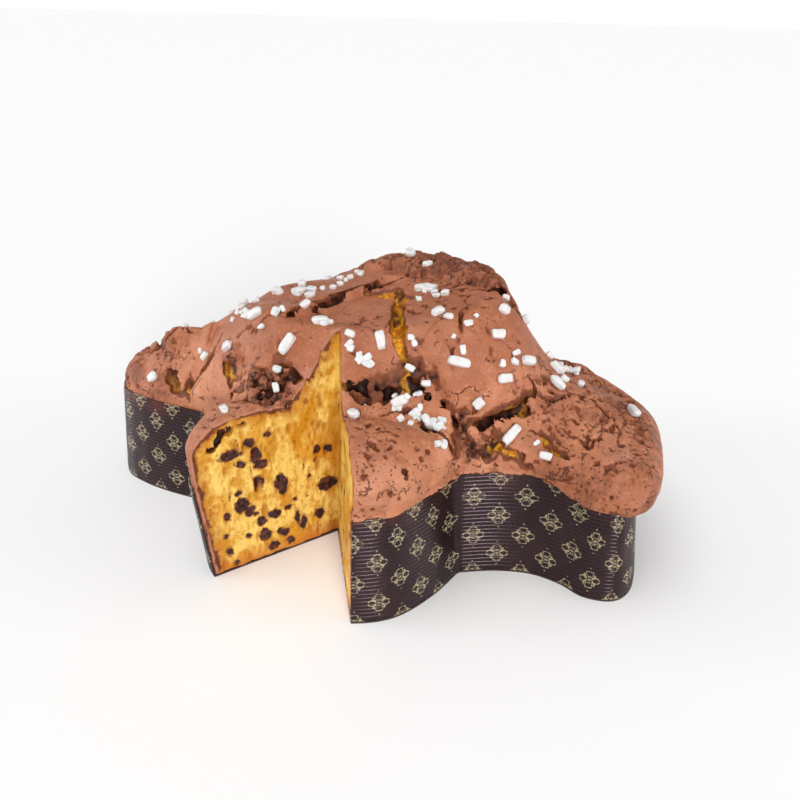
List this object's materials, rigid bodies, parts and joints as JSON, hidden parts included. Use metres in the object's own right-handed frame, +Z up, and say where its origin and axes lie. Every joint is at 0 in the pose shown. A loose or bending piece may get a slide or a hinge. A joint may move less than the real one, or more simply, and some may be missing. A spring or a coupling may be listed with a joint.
{
  "type": "colomba cake",
  "caption": "Dove-shaped risen cake with a cracked cocoa glaze and pearl sugar, in a ribbed paper mould, with one slice cut out of a wing.",
  "frame": {"origin": "on the underside of the paper base, at the middle of the dove", "axes": "+X from the dove's head to its tail, +Z up; the slice is missing from the wing on the -Y side"},
  "size_m": [0.3131, 0.2154, 0.1369],
  "materials": {
    "crust": "matte cocoa glaze, pitted and cracked, with yellow crumb on the cut faces",
    "mould_paper": "satin dark brown ribbed paper with a small pale repeat",
    "base_paper": "plain dark brown paper",
    "pearl_sugar": "matte white pressed sugar"
  },
  "bodies": {
    "root": {"cake": "crust", "paper_base": "base_paper", "paper_wall": "mould_paper", "sugar_grain_01": "pearl_sugar", "sugar_grain_02": "pearl_sugar", "sugar_grain_03": "pearl_sugar", "sugar_grain_04": "pearl_sugar", "sugar_grain_05": "pearl_sugar", "sugar_grain_06": "pearl_sugar", "sugar_grain_07": "pearl_sugar", "sugar_grain_08": "pearl_sugar", "sugar_grain_09": "pearl_sugar", "sugar_grain_10": "pearl_sugar", "sugar_grain_11": "pearl_sugar", "sugar_grain_12": "pearl_sugar", "sugar_grain_13": "pearl_sugar", "sugar_grain_14": "pearl_sugar", "sugar_grain_15": "pearl_sugar", "sugar_grain_16": "pearl_sugar", "sugar_grain_17": "pearl_sugar", "sugar_grain_18": "pearl_sugar", "sugar_grain_19": "pearl_sugar", "sugar_grain_20": "pearl_sugar", "sugar_grain_21": "pearl_sugar", "sugar_grain_22": "pearl_sugar", "sugar_grain_23": "pearl_sugar", "sugar_grain_24": "pearl_sugar", "sugar_grain_25": "pearl_sugar", "sugar_grain_26": "pearl_sugar", "sugar_grain_27": "pearl_sugar", "sugar_grain_28": "pearl_sugar", "sugar_grain_29": "pearl_sugar", "sugar_grain_30": "pearl_sugar", "sugar_grain_31": "pearl_sugar", "sugar_grain_32": "pearl_sugar", "sugar_grain_33": "pearl_sugar", "sugar_grain_34": "pearl_sugar", "sugar_grain_35": "pearl_sugar", "sugar_grain_36": "pearl_sugar", "sugar_grain_37": "pearl_sugar", "sugar_grain_38": "pearl_sugar", "sugar_grain_39": "pearl_sugar", "sugar_grain_40": "pearl_sugar", "sugar_grain_41": "pearl_sugar", "sugar_grain_42": "pearl_sugar", "sugar_grain_43": "pearl_sugar", "sugar_grain_44": "pearl_sugar", "sugar_grain_45": "pearl_sugar", "sugar_grain_46": "pearl_sugar", "sugar_grain_47": "pearl_sugar", "sugar_grain_48": "pearl_sugar", "sugar_grain_49": "pearl_sugar", "sugar_grain_50": "pearl_sugar", "sugar_grain_51": "pearl_sugar", "sugar_grain_52": "pearl_sugar", "sugar_grain_53": "pearl_sugar", "sugar_grain_54": "pearl_sugar", "sugar_grain_55": "pearl_sugar", "sugar_grain_56": "pearl_sugar", "sugar_grain_57": "pearl_sugar"}
  },
  "joints": []
}
